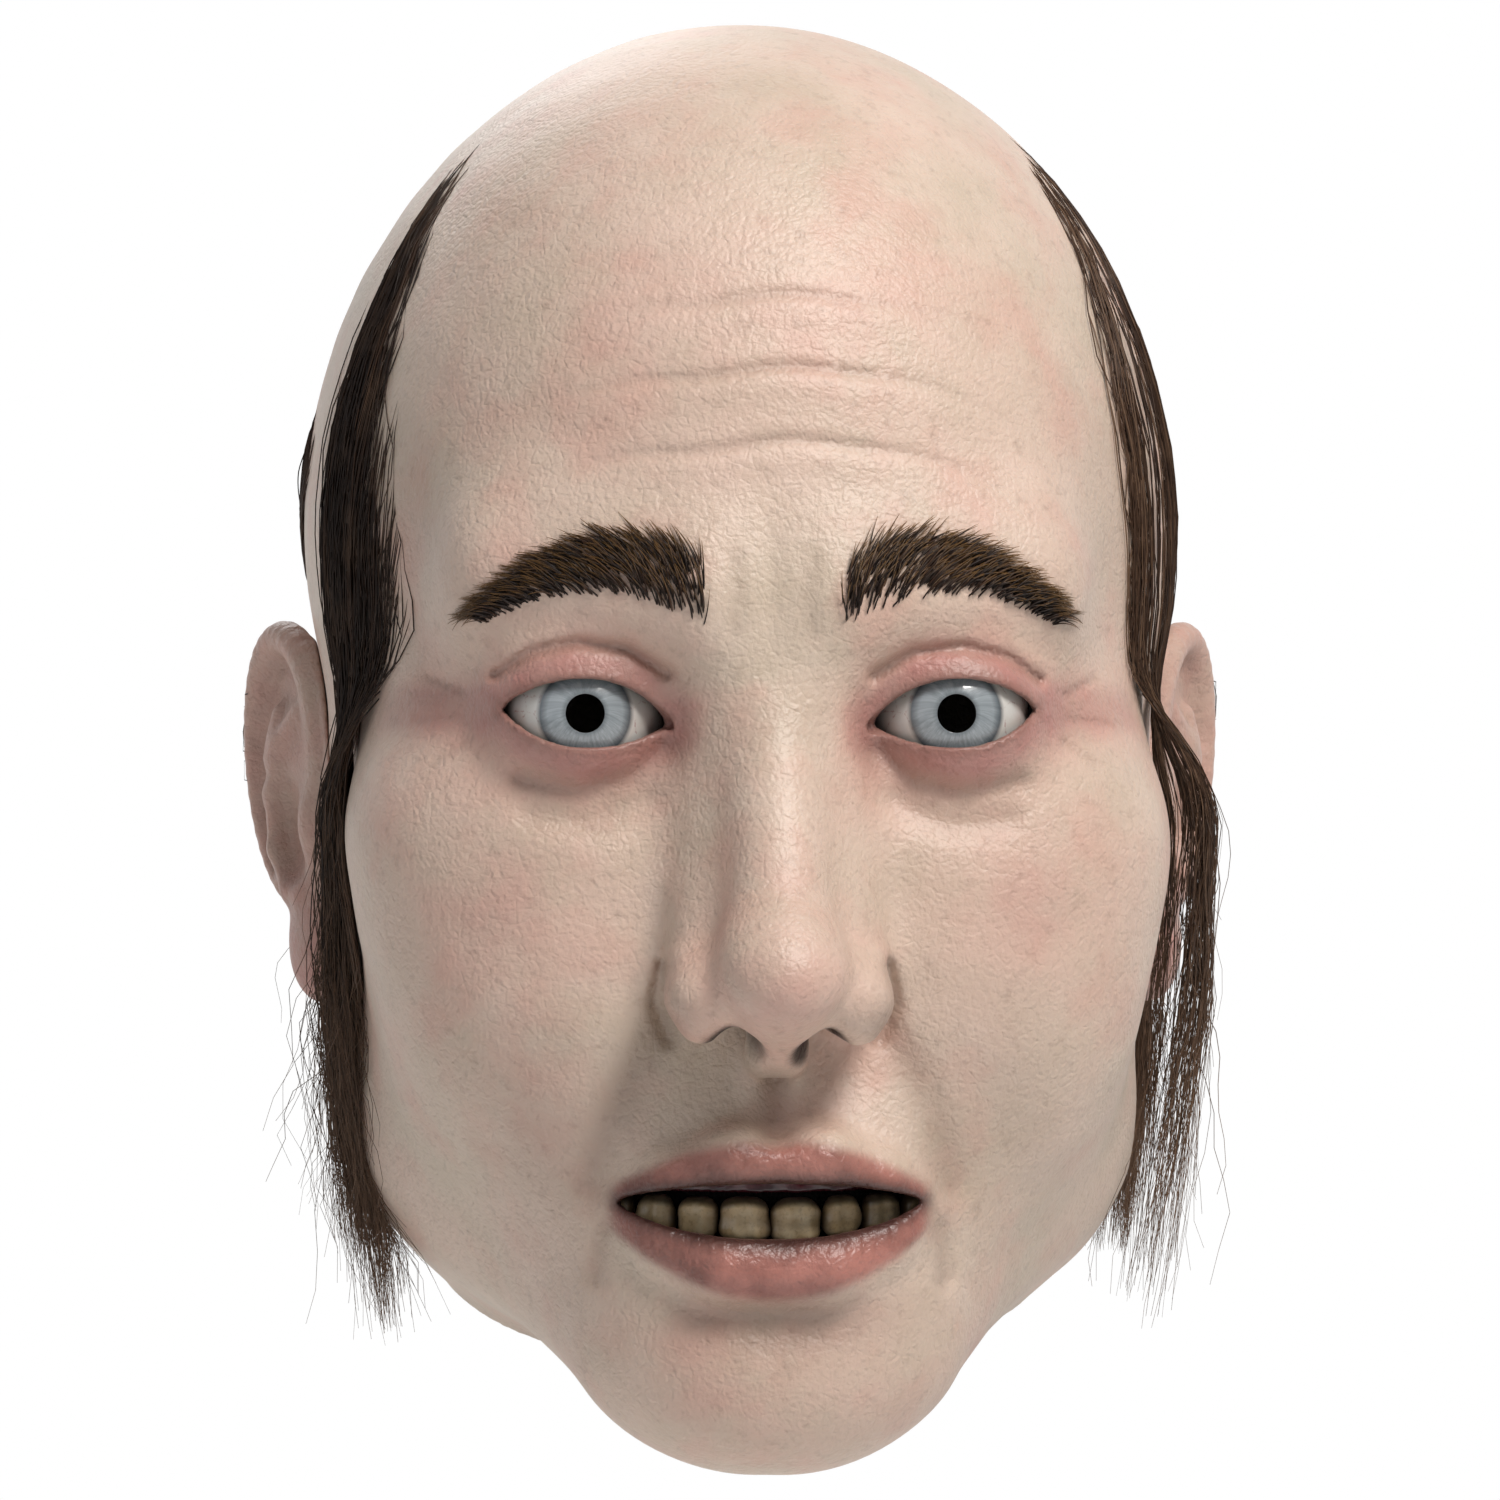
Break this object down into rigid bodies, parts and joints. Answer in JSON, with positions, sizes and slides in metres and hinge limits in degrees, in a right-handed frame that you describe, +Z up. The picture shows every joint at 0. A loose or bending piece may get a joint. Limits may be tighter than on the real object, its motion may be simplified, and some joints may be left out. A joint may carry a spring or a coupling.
{
  "type": "over-the-head latex mask",
  "caption": "Over-the-head latex mask of a bald man with long thin side hair, domed eyes with pupil holes, set teeth and a rear slit whose corners fold out.",
  "frame": {"origin": "middle of the wearer's head inside the mask: eye height, halfway between crown and chin, on the middle plane", "axes": "+Z up to the crown, -Y the way the face looks, +X the wearer's left"},
  "size_m": [0.1978, 0.2529, 0.2698],
  "materials": {
    "latex": "matte painted latex, fine stipple",
    "eye_resin": "glossy clear-coated",
    "gum_resin": "glossy",
    "tooth_resin": "satin, stained",
    "hair_fibre": "dull fibre",
    "black_gauze": "matt open mesh",
    "foam": "open-cell foam"
  },
  "bodies": {
    "mask": {"head_skin": "latex", "ear_left": "latex", "ear_right": "latex", "eye_dome_left": "eye_resin", "eye_dome_right": "eye_resin", "upper_gum": "gum_resin", "tooth_left_1": "tooth_resin", "tooth_left_2": "tooth_resin", "tooth_left_3": "tooth_resin", "tooth_left_4": "tooth_resin", "tooth_right_1": "tooth_resin", "tooth_right_2": "tooth_resin", "tooth_right_3": "tooth_resin", "tooth_right_4": "tooth_resin", "mouth_gauze": "black_gauze", "hair_temple_left": "hair_fibre", "hair_temple_right": "hair_fibre", "hair_side_left": "hair_fibre", "hair_side_right": "hair_fibre", "hair_back_left": "hair_fibre", "hair_back_right": "hair_fibre", "eyebrow_left": "hair_fibre", "eyebrow_right": "hair_fibre", "crown_pad": "foam", "forehead_pad": "foam"},
    "left_flap": {"rear_flap_left": "latex", "hair_flap_left": "hair_fibre"},
    "right_flap": {"rear_flap_right": "latex", "hair_flap_right": "hair_fibre"}
  },
  "joints": [
    {"name": "left_flap_flex", "type": "hinge", "parent": "mask", "child": "left_flap", "pos_m": [0.022, 0.0963, -0.0301], "axis": [0.3208, -0.4237, -0.8471], "range_deg": [0, 45], "stiffness_Nm_per_rad": 0.04},
    {"name": "right_flap_flex", "type": "hinge", "parent": "mask", "child": "right_flap", "pos_m": [-0.022, 0.0963, -0.0301], "axis": [0.3208, 0.4237, 0.8471], "range_deg": [0, 45], "stiffness_Nm_per_rad": 0.04}
  ]
}
